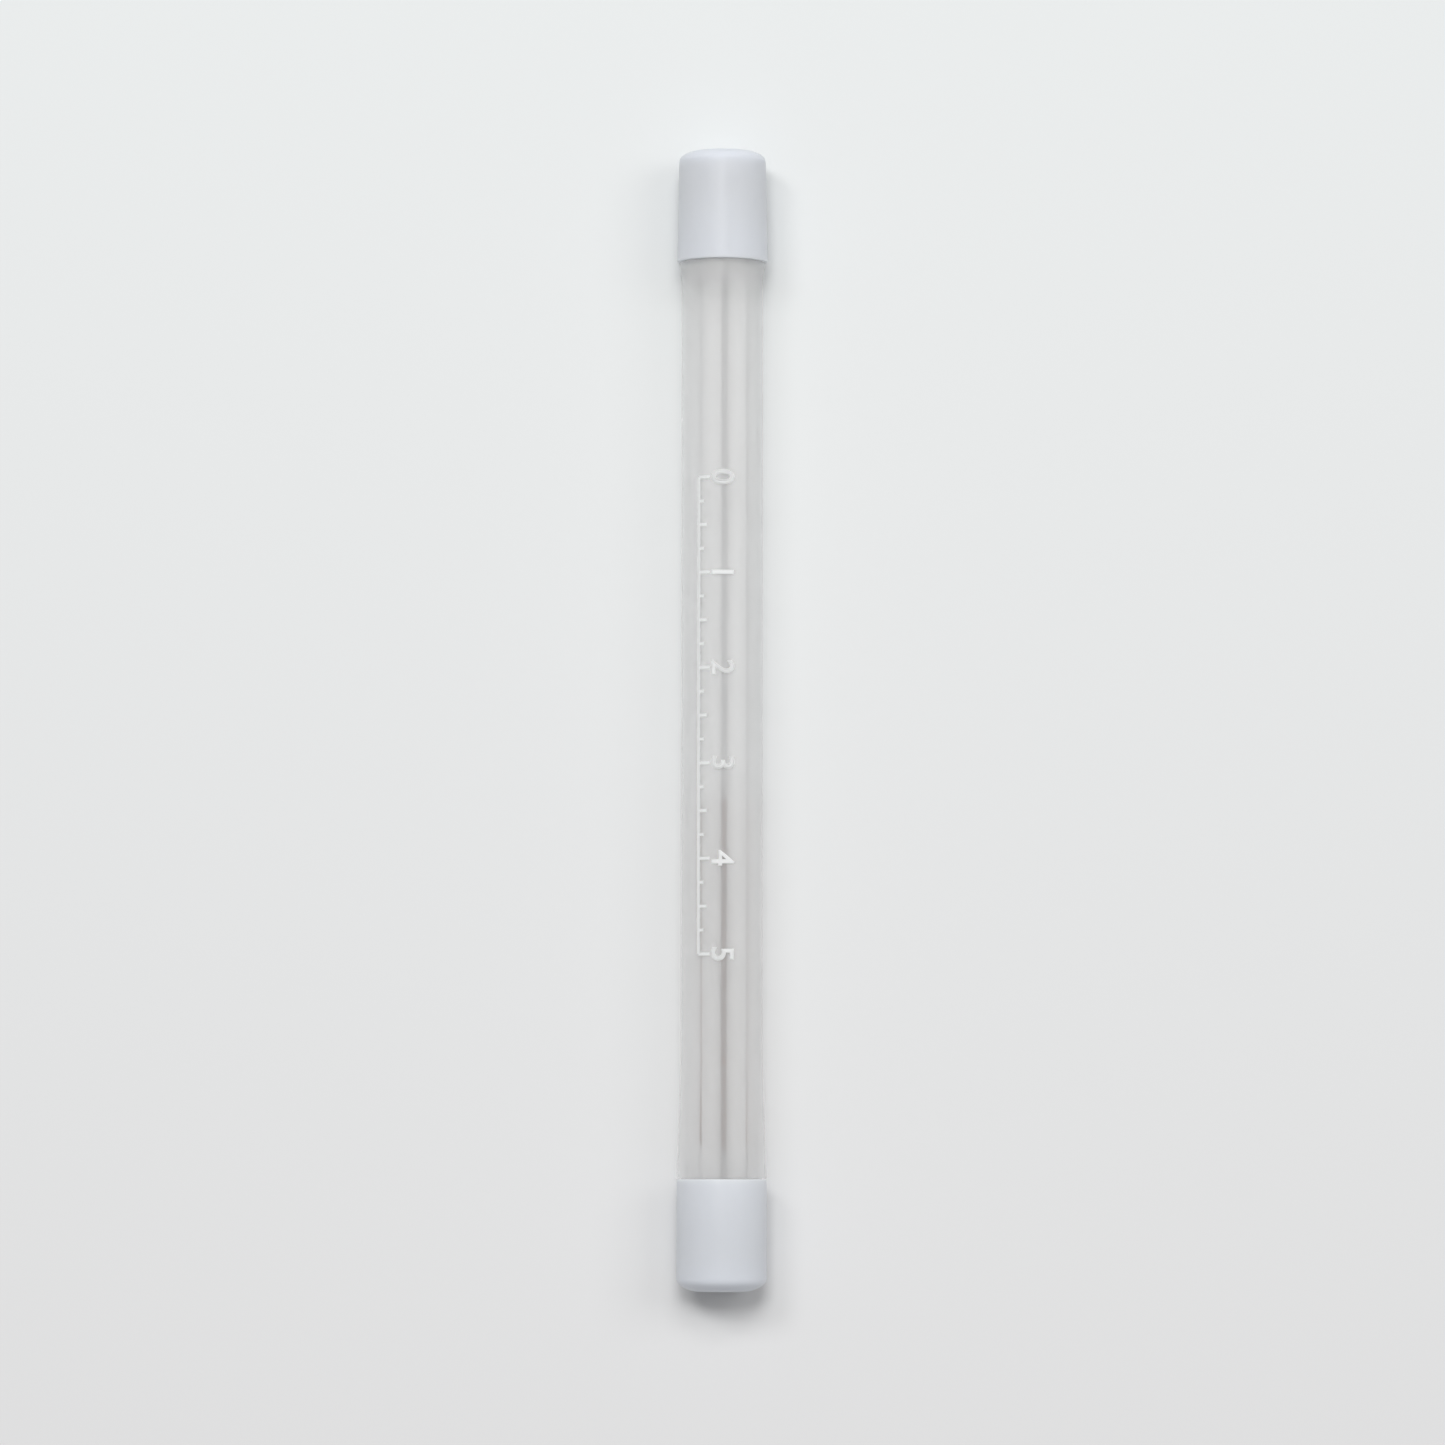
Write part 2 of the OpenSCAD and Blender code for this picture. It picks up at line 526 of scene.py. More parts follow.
def run_tree(
    name: str,
    base: bpy.types.Mesh,
    made: NodeTree,
    values: dict[str, object],
    thicken: float = 0.0,
) -> Piece:
    """Runs a geometry node tree on a mesh and keeps the result as a plain mesh object at the origin.

    Args:
        name: Name of the piece.
        base: The mesh that goes in.
        made: The tree.
        values: Values of the tree's named inputs.
        thicken: Wall that a Solidify modifier adds outwards, in metres, or 0 for none.

    Returns:
        The finished object, with doubles merged and faces pointing outwards.
    """
    worker = bpy.data.objects.new(name + "_maker", base)
    bpy.context.scene.collection.objects.link(worker)
    modifier = worker.modifiers.new("shape", "NODES")
    modifier.node_group = made.tree
    for label, value in values.items():
        modifier[made.identifiers[label]] = value
    if thicken > 0.0:
        wall = worker.modifiers.new("wall", "SOLIDIFY")
        wall.thickness = thicken
        wall.offset = 1.0
    evaluated = worker.evaluated_get(bpy.context.evaluated_depsgraph_get())
    mesh = bpy.data.meshes.new_from_object(evaluated)
    mesh.name = name
    bpy.data.objects.remove(worker)
    shape = bmesh.new()
    shape.from_mesh(mesh)
    bmesh.ops.remove_doubles(shape, verts=shape.verts, dist=MERGE_REACH)
    bmesh.ops.recalc_face_normals(shape, faces=shape.faces)
    shape.to_mesh(mesh)
    shape.free()
    piece = bpy.data.objects.new(name, mesh)
    bpy.context.scene.collection.objects.link(piece)
    return piece


class Lathe:
    """Turns an outline of radii and stations round the axis of the case, as a geometry node tree."""

    def __init__(self) -> None:
        """Builds the tree."""
        made = NodeTree("lathe")
        segments = made.count("Segments", 64)
        points = made.count("Outline Points", 2)
        centre_x = made.number("Axis X", 0.0)
        centre_z = made.number("Axis Z", 0.0)
        keep_sharp = made.number("Sharp Angle", FOLD_ANGLE)
        material = made.material("Finish")
        sheet = made.grid(points, made.math("ADD", segments, 1))
        where = made.position()
        steps = made.math("SUBTRACT", points, 1)
        index = made.math("ROUND", made.math("MULTIPLY", made.math("ADD", where[0], 0.5), steps))
        turn = made.math("MULTIPLY", made.math("ADD", where[1], 0.5), 2.0 * math.pi)
        sample = {
            "Geometry": made.source.outputs["Geometry"],
            "Value": made.add("GeometryNodeInputPosition"),
            "Index": index,
        }
        outline = made.apart(
            made.add("GeometryNodeSampleIndex", sample, data_type="FLOAT_VECTOR", domain="POINT")
        )
        out_x = made.math("MULTIPLY_ADD", outline[0], made.math("SINE", turn), centre_x)
        drop = made.math("MULTIPLY", outline[0], made.math("COSINE", turn))
        place = made.vector(out_x, outline[1], made.math("SUBTRACT", centre_z, drop))
        moved = made.add("GeometryNodeSetPosition", {"Geometry": sheet, "Position": place})
        merged = made.add("GeometryNodeMergeByDistance", {"Geometry": moved, "Distance": MERGE_REACH})
        smooth = made.add("GeometryNodeSetShadeSmooth", {"Geometry": merged}, domain="FACE")
        steep = made.math("GREATER_THAN", made.add("GeometryNodeInputMeshEdgeAngle"), keep_sharp)
        folds = {"Geometry": smooth, "Selection": steep, "Shade Smooth": False}
        made.end(made.add("GeometryNodeSetShadeSmooth", folds, domain="EDGE"), material)
        self.made = made

    def turn(
        self,
        name: str,
        outline: list[Point2],
        axis: Point2,
        finish: Material,
        segments: int,
    ) -> Piece:
        """Turns one outline into a closed piece.

        Args:
            name: Name of the piece.
            outline: Radius and station along Y of each point, in metres, in order round the section.
            axis: X and Z of the axis, in metres.
            finish: The material.
            segments: Number of steps round the axis.

        Returns:
            The piece.
        """
        base = bpy.data.meshes.new(name + "_outline")
        base.from_pydata([(radius, station, 0.0) for radius, station in outline], [], [])
        values = {
            "Segments": segments,
            "Outline Points": len(outline),
            "Axis X": axis[0],
            "Axis Z": axis[1],
            "Finish": finish,
        }
        return run_tree(name, base, self.made, values)


def arc(centre: Point2, radius: float, start: float, stop: float, steps: int) -> list[Point2]:
    """Gives points along an arc in the plane of the outline.

    Args:
        centre: Radius and station of the centre.
        radius: Radius of the arc.
        start: First angle in degrees, from the direction of growing radius towards growing station.
        stop: Last angle in degrees.
        steps: Number of steps.

    Returns:
        The points, both ends included.
    """
    angles = [math.radians(start + (stop - start) * step / steps) for step in range(steps + 1)]
    return [(centre[0] + radius * math.cos(a), centre[1] + radius * math.sin(a)) for a in angles]


@dataclass
class CaseSizes:
    """The sizes that the pieces of the case share, in millimetres, and the places that follow from them.

    Args:
        tube_radius: Outer radius of the tube at its waist.
        tube_wall: Wall of the tube at its waist.
        foot_rise: Growth of the radius down to the bottom cap.
        foot_flare: Length of that flare.
        neck_rise: Growth of the radius up to the top cap.
        neck_flare: Length of that flare.
        spigot_length: Length of the thinner ends that the caps slip over.
        spigot_wall: Wall of those ends.
        spigot_edge: Rounding of their rims.
        shoulder_edge: Rounding of the shoulders that the caps meet.
        cap_clearance: Gap between a spigot and its cap.
    """

    tube_radius: float = 4.28
    tube_wall: float = 0.48
    foot_rise: float = 0.42
    foot_flare: float = 12.4
    neck_rise: float = 0.26
    neck_flare: float = 3.2
    spigot_length: float = 8.0
    spigot_wall: float = 0.42
    spigot_edge: float = 0.15
    shoulder_edge: float = 0.12
    cap_clearance: float = 0.05
    low_end: float = field(init=False)
    high_end: float = field(init=False)
    foot: float = field(init=False)
    neck: float = field(init=False)
    axis_height: float = field(init=False)

    def __post_init__(self) -> None:
        """Takes the places of the tube, its shoulders and its axis from the frame."""
        tube_low, tube_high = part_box("tube")
        self.low_end = tube_low.y / MM
        self.high_end = tube_high.y / MM
        self.foot = self.low_end + self.spigot_length
        self.neck = self.high_end - self.spigot_length
        self.axis_height = 0.5 * (tube_low.z + tube_high.z) / MM

    @property
    def bore_radius(self) -> float:
        """Inner radius of the tube."""
        return self.tube_radius - self.tube_wall

    @property
    def spigot_radius(self) -> float:
        """Outer radius of the spigots."""
        return self.bore_radius + self.spigot_wall

    @property
    def axis(self) -> Point2:
        """X and Z of the axis of the case, in metres."""
        return (0.0, self.axis_height * MM)

    def barrel_radius(self, station: float) -> float:
        """Gives the outer radius of the tube at a station below its neck flare, in millimetres."""
        below = max(0.0, self.foot + self.foot_flare - station)
        return self.tube_radius + self.foot_rise * below / self.foot_flare


def metres(outline: list[Point2]) -> list[Point2]:
    """Turns an outline in millimetres into metres."""
    return [(radius * MM, station * MM) for radius, station in outline]


@dataclass
class CaseTube:
    """The translucent tube: two spigots, a long flare at the foot, a straight middle and a short flared neck.

    Args:
        sizes: Sizes of the case.
        lathe: The tree that turns outlines.
        flare_blend: Half the length over which the foot flare runs into the waist, in millimetres.
        edge_steps: Steps of each rounded edge.
        flare_steps: Steps of the neck flare.
        segments: Steps round the axis.
    """

    sizes: CaseSizes
    lathe: Lathe
    flare_blend: float = 1.2
    edge_steps: int = 4
    flare_steps: int = 14
    segments: int = 192

    def outline(self) -> list[Point2]:
        """Draws the closed half section of the tube.

        Returns:
            Radius and station of each point, in millimetres, with the first point repeated at the end.
        """
        s = self.sizes
        edge, shoulder = s.spigot_edge, s.shoulder_edge
        foot_radius = s.barrel_radius(s.foot)
        neck_radius = s.tube_radius + s.neck_rise
        flare_radius = (s.neck_flare**2 + s.neck_rise**2) / (2.0 * s.neck_rise)
        flare_angle = math.degrees(math.asin(s.neck_flare / flare_radius))
        points = [(s.bore_radius, s.low_end)]
        points += arc((s.spigot_radius - edge, s.low_end + edge), edge, -90.0, 0.0, self.edge_steps)
        points += [(s.spigot_radius, s.foot)]
        points += arc((foot_radius - shoulder, s.foot + shoulder), shoulder, -90.0, 0.0, self.edge_steps)
        bend = s.foot + s.foot_flare
        blend = self.flare_blend
        points += [(s.barrel_radius(bend - blend), bend - blend)]
        points += [(s.tube_radius + 0.25 * s.foot_rise * blend / s.foot_flare, bend)]
        points += [(s.tube_radius, bend + blend)]
        centre = (s.tube_radius + flare_radius, s.neck - s.neck_flare)
        points += arc(centre, flare_radius, 180.0, 180.0 - flare_angle, self.flare_steps)
        points += [(neck_radius, s.neck - 0.5 * shoulder), (neck_radius - 0.5 * shoulder, s.neck)]
        points += [(s.spigot_radius, s.neck)]
        points += arc((s.spigot_radius - edge, s.high_end - edge), edge, 0.0, 90.0, self.edge_steps)
        points += [(s.bore_radius, s.high_end), points[0]]
        return points

    def build(self, finish: Material) -> Piece:
        """Makes the tube and lets it stand for its CAD node.

        Args:
            finish: The frosted plastic.

        Returns:
            The tube.
        """
        piece = self.lathe.turn("case_tube", metres(self.outline()), self.sizes.axis, finish, self.segments)
        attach(piece, "tube")
        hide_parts("tube")
        return piece


@dataclass
class SlipCap:
    """A cap that slips over a spigot: a closed end with a round edge, a drafted skirt and a stepped hollow.

    Args:
        role: The end of the case that the cap closes.
        sizes: Sizes of the case, in millimetres, as all sizes below are.
        lathe: The tree that turns outlines.
        length: Length of the cap.
        skirt_wall: Wall at the open lip.
        closed_end_change: Radius beside the closed end less the radius at the lip.
        crown_depth: Distance from the closed end over which its edge curves.
        crown: Distance from the side over which the edge curves.
        corner_round: Radius of the corner in that edge.
        lip_round: Rounding of the lip outside.
        mouth_edge: Chamfer of the lip inside.
        floor: Thickness of the closed end.
        floor_round: Rounding of the hollow's floor.
        hollow_taper: How much the hollow narrows past the spigot.
        spigot_end_gap: Gap between the spigot's end and that narrower part.
        mark_radius: Radius of the moulding mark in the closed end.
        mark_depth: Depth of that mark.
        mark_round: Rounding of its rim.
        edge_steps: Steps of each small rounded edge.
        corner_steps: Steps of the corner.
        crown_steps: Steps of the wide arc beside it.
        segments: Steps round the axis.
    """

    role: Role
    sizes: CaseSizes
    lathe: Lathe
    length: float
    skirt_wall: float
    closed_end_change: float
    crown_depth: float
    crown: float
    corner_round: float
    lip_round: float = 0.14
    mouth_edge: float = 0.15
    floor: float = 1.2
    floor_round: float = 0.4
    hollow_taper: float = 0.1
    spigot_end_gap: float = 0.3
    mark_radius: float = 0.9
    mark_depth: float = 0.15
    mark_round: float = 0.05
    edge_steps: int = 6
    corner_steps: int = 10
    crown_steps: int = 14
    segments: int = 192

    def closed_end(self, end_radius: float) -> list[Point2]:
        """Draws the crowned edge of the closed end: a wide arc that runs into the small arc of the corner.

        Args:
            end_radius: Radius of the cap beside its closed end, in millimetres.

        Returns:
            Radius and distance from the closed end of each point, in millimetres, from the flat end outwards.
        """
        small, depth = self.corner_round, self.crown_depth
        reach = self.crown - small
        large = (reach**2 + depth**2 - small**2) / (2.0 * (depth - small))
        lean = math.degrees(math.atan2(depth - large, reach))
        wide = arc((end_radius - self.crown, large), large, -90.0, lean, self.crown_steps)
        return wide + arc((end_radius - small, depth), small, lean, 0.0, self.corner_steps)[1:]

    def outline(self) -> list[Point2]:
        """Draws the half section of the cap from its closed end, outside first.

        Returns:
            Radius and distance from the closed end of each point, in millimetres.
        """
        s = self.sizes
        hollow = s.spigot_radius + s.cap_clearance
        lip = hollow + self.skirt_wall
        end = lip + self.closed_end_change
        narrow = hollow - self.hollow_taper
        seat_end = self.length - s.spigot_length - self.spigot_end_gap
        soft = self.mark_round
        points = [(0.0, self.mark_depth), (self.mark_radius - soft, self.mark_depth)]
        points += arc((self.mark_radius + soft, soft), soft, 180.0, 270.0, self.edge_steps)
        points += self.closed_end(end)
        middle = 0.5 * self.length
        share = (middle - self.crown_depth) / (self.length - self.crown_depth)
        points += [(end + (lip - end) * share, middle)]
        rim = self.lip_round
        points += arc((lip - rim, self.length - rim), rim, 0.0, 90.0, self.edge_steps)
        points += [(hollow + self.mouth_edge, self.length), (hollow, self.length - self.mouth_edge)]
        points += [(hollow, seat_end)]
        corner = self.floor_round
        points += arc((narrow - corner, self.floor + corner), corner, 0.0, -90.0, self.edge_steps)
        points += [(0.0, self.floor)]
        return points

    def build(self, finish: Material) -> Piece:
        """Makes the cap at its end of the case and lets it stand for its CAD node.

        Args:
            finish: The satin plastic.

        Returns:
            The cap.
        """
        node = "top_cap" if self.role is Role.TOP else "bottom_cap"
        low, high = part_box(node)
        closed_end = (high.y if self.role is Role.TOP else low.y) / MM
        placed = [(radius, closed_end - self.role.value * depth) for radius, depth in self.outline()]
        piece = self.lathe.turn("slip_" + node, metres(placed), self.sizes.axis, finish, self.segments)
        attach(piece, node)
        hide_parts(node)
        return piece


@dataclass
class EraserRefill:
    """One round eraser refill, cut square at both ends.

    Args:
        side: Which of the two refills this is.
        lathe: The tree that turns outlines.
        cut_edge: Rounding of the cut ends, in millimetres.
        ease: How much thinner the radius is than the CAD node's, in millimetres, so that the slit shows.
        shift: How far the refill lies from its CAD node's middle along X, in millimetres.
        edge_steps: Steps of each rounded edge.
        segments: Steps round the axis.
    """

    side: Side
    lathe: Lathe
    cut_edge: float = 0.08
    ease: float = 0.12
    shift: float = -0.05
    edge_steps: int = 4
    segments: int = 72

    def build(self, finish: Material) -> Piece:
        """Makes the refill where its CAD node lies.

        Args:
            finish: The eraser rubber.

        Returns:
            The refill.
        """
        node = "refill_left" if self.side is Side.LEFT else "refill_right"
        low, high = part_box(node)
        radius = 0.5 * (high.z - low.z) - self.ease * MM
        edge = self.cut_edge * MM
        axis = (0.5 * (low.x + high.x) + self.shift * MM, 0.5 * (low.z + high.z))
        outline = [(0.0, low.y)]
        outline += arc((radius - edge, low.y + edge), edge, -90.0, 0.0, self.edge_steps)
        outline += arc((radius - edge, high.y - edge), edge, 0.0, 90.0, self.edge_steps)
        outline += [(0.0, high.y)]
        piece = self.lathe.turn("eraser_" + node, outline, axis, finish, self.segments)
        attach(piece, node)
        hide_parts(node)
        return piece


@dataclass
class UnderLabel:
    """The plain label under the tube: a thin sheet with round corners that follows the foot flare.

    Args:
        sizes: Sizes of the case.
        wrap: How far the label reaches round the tube, in degrees.
        turn: Turn of its middle from straight below towards +X, in degrees.
        thickness: Thickness of the sheet, in millimetres.
        lift: Gap between the sheet and the tube, in millimetres.
        corner: Radius of its corners, in millimetres.
        rows: Number of faces along the label.
        columns: Number of faces across it.
    """

    sizes: CaseSizes
    wrap: float = 65.0
    turn: float = 2.5
    thickness: float = 0.07
    lift: float = 0.006
    corner: float = 1.0
    rows: int = 150
    columns: int = 40

    def tree(self) -> NodeTree:
        """Builds the tree that bends a flat grid round the tube.

        Returns:
            The tree.
        """
        made = NodeTree("wrapped_label")
        length = made.number("Length", 0.0)
        low = made.number("Start", 0.0)
        wrap = made.number("Wrap", math.radians(self.wrap))
        turn = made.number("Turn", 0.0)
        corner = made.number("Corner", self.corner * MM)
        radius = made.number("Tube Radius", self.sizes.tube_radius * MM)
        rise = made.number("Rise Per Length", 0.0)
        bend = made.number("Flare Start", 0.0)
        centre_z = made.number("Axis Z", 0.0)
        thickness = made.number("Thickness", self.thickness * MM)
        material = made.material("Finish")
        flat = made.grid(self.columns + 1, self.rows + 1)
        where = made.position()
        along = made.math("MULTIPLY", made.math("ADD", where[1], 0.5), length)
        station = made.math("ADD", low, along)
        to_end = made.math("MINIMUM", along, made.math("SUBTRACT", length, along))
        short = made.math("MAXIMUM", made.math("SUBTRACT", corner, to_end), 0.0)
        full = made.math("MULTIPLY", corner, corner)
        square = made.math("SUBTRACT", full, made.math("MULTIPLY", short, short))
        inset = made.math("SUBTRACT", corner, made.math("SQRT", made.math("MAXIMUM", square, 0.0)))
        flare = made.math("MULTIPLY", rise, made.math("MAXIMUM", made.math("SUBTRACT", bend, station), 0.0))
        out = made.math("ADD", radius, flare)
        half = made.math("SUBTRACT", made.math("MULTIPLY", wrap, 0.5), made.math("DIVIDE", inset, out))
        across = made.math("MULTIPLY", where[0], 2.0)
        angle = made.math("ADD", turn, made.math("MULTIPLY", across, half))
        side = made.math("MULTIPLY", out, made.math("SINE", angle))
        drop = made.math("MULTIPLY", out, made.math("COSINE", angle))
        place = made.vector(side, station, made.math("SUBTRACT", centre_z, drop))
        bent = made.add("GeometryNodeSetPosition", {"Geometry": flat, "Position": place})
        outwards = made.add("GeometryNodeFlipFaces", {"Mesh": bent})
        wall = {"Mesh": outwards, "Offset Scale": thickness, "Individual": False}
        joined = add_node(made.tree, "GeometryNodeJoinGeometry")
        for sheet in (bent, made.add("GeometryNodeExtrudeMesh", wall)):
            feed(made.tree, joined, {"Geometry": sheet})
        made.end(made.add("GeometryNodeSetShadeSmooth", {"Geometry": joined.outputs[0]}), material)
        return made

    def build(self, finish: Material) -> Piece:
        """Makes the label and lets it stand for its CAD node.

        Args:
            finish: The label paper, its own warm tint made darker as painted shade.

        Returns:
            The label.
        """
        s = self.sizes
        low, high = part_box("label")
        values = {
            "Length": high.y - low.y,
            "Start": low.y,
            "Turn": math.radians(self.turn),
            "Tube Radius": (s.tube_radius + self.lift) * MM,
            "Rise Per Length": s.foot_rise / s.foot_flare,
            "Flare Start": (s.foot + s.foot_flare) * MM,
            "Axis Z": s.axis_height * MM,
            "Finish": finish,
        }
        base = bpy.data.meshes.new("label_base")
        piece = run_tree("under_label", base, self.tree(), values)
        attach(piece, "tube")
        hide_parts("label")
        return piece


@dataclass
class BarrelScale:
    """A plain printed scale on top of the tube: a base line, even ticks and a digit every few ticks.

    Args:
        sizes: Sizes of the case.
        start: Station of the first tick, in millimetres, as all sizes below are.
        tick_step: Distance between ticks, towards the bottom cap.
        tick_count: Number of ticks.
        ticks_per_digit: Ticks from one digit to the next.
        base_x: Distance of the base line from the middle, round the tube.
        line_width: Width of every line.
        short_tick: Length of a plain tick.
        middle_tick: Length of the tick half way between digits.
        long_tick: Length of the tick at a digit.
        digit_height: Height of the digits.
        digit_bold: Width of the stroke that thickens their outline.
        digit_gap: Gap between a long tick and its digit.
        digit_share: Height of a digit as a share of the text size.
        digit_cuts: How often the faces of a digit are halved, so that they bend with the tube.
        ink: Thickness of the ink.
        lift: Gap between the ink and the tube.
        across: Points along each tick.
    """

    sizes: CaseSizes
    start: float = 25.2
    tick_step: float = 2.5
    tick_count: int = 21
    ticks_per_digit: int = 4
    base_x: float = -2.6
    line_width: float = 0.3
    short_tick: float = 0.6
    middle_tick: float = 0.95
    long_tick: float = 1.3
    digit_height: float = 2.3
    digit_bold: float = 0.16
    digit_gap: float = 0.25
    digit_share: float = 0.7
    digit_cuts: int = 2
    ink: float = 0.02
    lift: float = 0.012
    across: int = 10

    def _ticks(self, made: NodeTree, width: Socket, line: Feeds) -> Socket:
        """Adds the row of ticks, each as long as its place in the scale asks.

        Args:
            made: The tree.
            width: Width of the lines.
            line: Count, start and offset of the row of points.

        Returns:
            The ticks.
        """
        short = made.number("Short Tick", self.short_tick * MM)
        middle = made.number("Middle Tick", self.middle_tick * MM)
        long = made.number("Long Tick", self.long_tick * MM)
        bar = {"Geometry": made.grid(self.across, 2), "Translation": (0.5, 0.0, 0.0)}
        index = made.add("GeometryNodeInputIndex")
        on_digit = made.math("LESS_THAN", made.math("MODULO", index, float(self.ticks_per_digit)), 0.5)
        on_half = made.math("LESS_THAN", made.math("MODULO", index, 0.5 * self.ticks_per_digit), 0.5)
        reach = made.math("MULTIPLY_ADD", on_half, made.math("SUBTRACT", middle, short), short)
        reach = made.math("MULTIPLY_ADD", on_digit, made.math("SUBTRACT", long, middle), reach)
        row = {
            "Points": made.add("GeometryNodeMeshLine", line, mode="OFFSET"),
            "Instance": made.add("GeometryNodeTransform", bar),
            "Scale": made.vector(reach, width, 1.0),
        }
        return made.add("GeometryNodeInstanceOnPoints", row)

    def _digit(self, made: NodeTree, text: str, size: Socket, stroke: Socket, place: Socket) -> Socket:
        """Adds one bold digit, turned to read along the case.

        Args:
            made: The tree.
            text: The digit.
            size: Size of the text.
            stroke: The line that thickens its outline.
            place: Where the middle of its foot goes.

        Returns:
            The digit.
        """
        letter = {"String": text, "Size": size}
        curve = made.add(
            "GeometryNodeStringToCurves", letter, align_x="CENTER", align_y="BOTTOM_BASELINE"
        )
        level = made.add("GeometryNodeSetCurveNormal", {"Curve": curve}, mode="Z_UP")
        glyph = add_node(made.tree, "GeometryNodeJoinGeometry")
        rim = made.add("GeometryNodeCurveToMesh", {"Curve": level, "Profile Curve": stroke})
        for part in (made.add("GeometryNodeFillCurve", {"Curve": curve}), rim):
            feed(made.tree, glyph, {"Geometry": part})
        turned = {
            "Geometry": glyph.outputs[0],
            "Translation": place,
            "Rotation": (0.0, 0.0, -0.5 * math.pi),
        }
        placed = made.add("GeometryNodeTransform", turned)
        solid = made.add("GeometryNodeRealizeInstances", {"Geometry": placed})
        return made.add("GeometryNodeSubdivideMesh", {"Mesh": solid, "Level": self.digit_cuts})

    def tree(self) -> NodeTree:
        """Builds the tree that lays out the ticks and digits flat and wraps them over the tube.

        Returns:
            The tree.
        """
        made = NodeTree("barrel_scale")
        start = made.number("Start", self.start * MM)
        step = made.number("Tick Step", self.tick_step * MM)
        base_x = made.number("Base X", self.base_x * MM)
        width = made.number("Line Width", self.line_width * MM)
        digit = made.number("Digit Height", self.digit_height * MM)
        bold = made.number("Digit Bold", self.digit_bold * MM)
        digit_x = made.number("Digit X", (self.base_x + self.long_tick + self.digit_gap) * MM)
        radius = made.number("Tube Radius", self.sizes.tube_radius * MM)
        centre_z = made.number("Axis Z", 0.0)
        material = made.material("Finish")

        line = {
            "Count": self.tick_count,
            "Start Location": made.vector(base_x, start, 0.0),
            "Offset": made.vector(0.0, made.math("MULTIPLY", step, -1.0), 0.0),
        }
        steps = self.tick_count - 1
        half_down = made.math("MULTIPLY_ADD", step, -0.5 * steps, start)
        spine_size = made.vector(width, made.math("MULTIPLY", step, float(steps)), 1.0)
        spine = {
            "Geometry": made.grid(2, 2),
            "Translation": made.vector(base_x, half_down, 0.0),
            "Scale": spine_size,
        }
        marks = [self._ticks(made, width, line), made.add("GeometryNodeTransform", spine)]
        ends = {
            "Start": made.vector(made.math("MULTIPLY", bold, -0.5), 0.0, 0.0),
            "End": made.vector(made.math("MULTIPLY", bold, 0.5), 0.0, 0.0),
        }
        stroke = made.add("GeometryNodeCurvePrimitiveLine", ends)
        size = made.math("DIVIDE", digit, self.digit_share)
        for value in range(steps // self.ticks_per_digit + 1):
            down = made.math("MULTIPLY_ADD", step, -float(self.ticks_per_digit * value), start)
            place = made.vector(digit_x, down, 0.0)
            marks.append(self._digit(made, str(value), size, stroke, place))
        joined = add_node(made.tree, "GeometryNodeJoinGeometry")
        for mark in marks:
            feed(made.tree, joined, {"Geometry": mark})
        real = made.add("GeometryNodeRealizeInstances", {"Geometry": joined.outputs[0]})

        where = made.position()
        angle = made.math("DIVIDE", where[0], radius)
        side = made.math("MULTIPLY", radius, made.math("SINE", angle))
        rise = made.math("MULTIPLY_ADD", radius, made.math("COSINE", angle), centre_z)
        over = {"Geometry": real, "Position": made.vector(side, where[1], rise)}
        made.end(made.add("GeometryNodeSetPosition", over), material)
        return made

    def build(self, finish: Material) -> Piece:
        """Prints the scale on the tube.

        Args:
            finish: The white ink.

        Returns:
            The printed scale.
        """
        values = {
            "Tube Radius": (self.sizes.tube_radius + self.lift) * MM,
            "Axis Z": self.sizes.axis_height * MM,
            "Finish": finish,
        }
        base = bpy.data.meshes.new("scale_base")
        piece = run_tree("printed_scale", base, self.tree(), values, self.ink * MM)
        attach(piece, "tube")
        return piece


@dataclass
class Camera:
    """The camera above the case, at the photograph's viewing angle.

    Args:
        elevation: Angle above the table, in degrees.
        distance: Distance from the aim, in metres.
        frame_width: Width of the picture at the aim, in metres.
        sensor: Width of the sensor, in millimetres.
        aim: The point in the middle of the picture, in metres.
        roll: Turn of the picture, in degrees.
        near: Distance where the view starts, in metres.
    """

    elevation: float = 86.4
    distance: float = 0.7615
    frame_width: float = 0.15187
    sensor: float = 36.0
    aim: tuple[float, float, float] = (0.00005, -0.000345, 0.00485)
    roll: float = 0.055
    near: float = 0.01

    def build(self) -> Piece:
        """Makes the camera and sets it as the scene's.

        Returns:
            The camera.
        """
        data = bpy.data.cameras.new("camera")
        data.sensor_width = self.sensor
        data.lens = self.sensor * self.distance / self.frame_width
        data.clip_start = self.near
        camera = bpy.data.objects.new("camera", data)
        bpy.context.scene.collection.objects.link(camera)
        up = math.radians(self.elevation)
        aim = Vector(self.aim)
        camera.location = aim + self.distance * Vector((0.0, -math.cos(up), math.sin(up)))
        look = (aim - camera.location).to_track_quat("-Z", "Y").to_matrix()
        roll = Matrix.Rotation(math.radians(self.roll), 3, "Z")
        camera.rotation_euler = (look @ roll).to_euler()
        bpy.context.scene.camera = camera
        return camera


